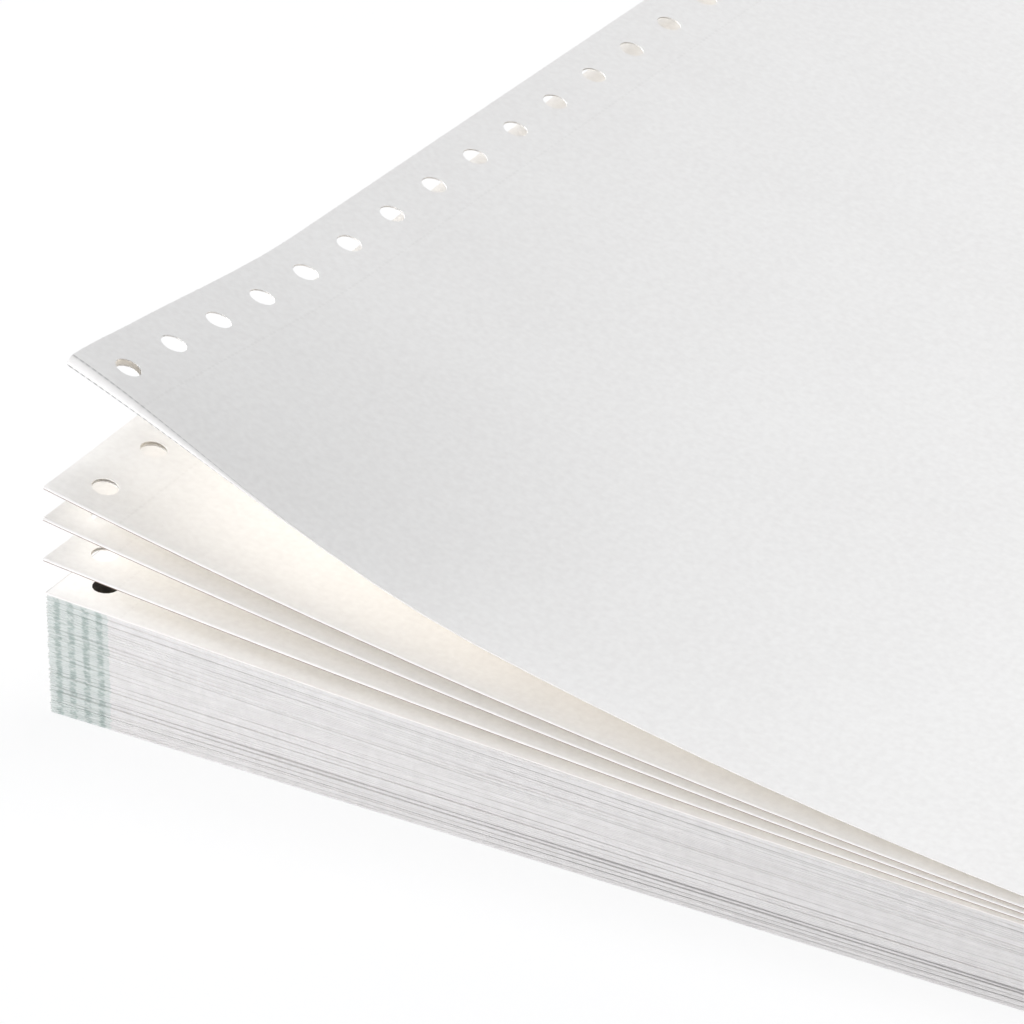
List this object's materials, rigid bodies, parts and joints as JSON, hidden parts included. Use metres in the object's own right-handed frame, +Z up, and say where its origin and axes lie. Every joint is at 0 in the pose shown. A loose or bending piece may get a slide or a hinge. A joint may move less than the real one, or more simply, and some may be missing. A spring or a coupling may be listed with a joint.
{
  "type": "stack of continuous form paper",
  "caption": "Fan-folded stack of plain continuous form paper with tractor holes along both side edges, its upper folds sprung open at the front left corner.",
  "frame": {"origin": "middle of the bottom sheet, on the ground", "axes": "+Z up, +X along the folds to the closed right side, +Y from the front folds to the rear creases"},
  "size_m": [0.2414, 0.2794, 0.0597],
  "materials": {
    "paper": "matte, uncoated"
  },
  "bodies": {
    "root": {"paper_stack": "paper"}
  },
  "joints": []
}
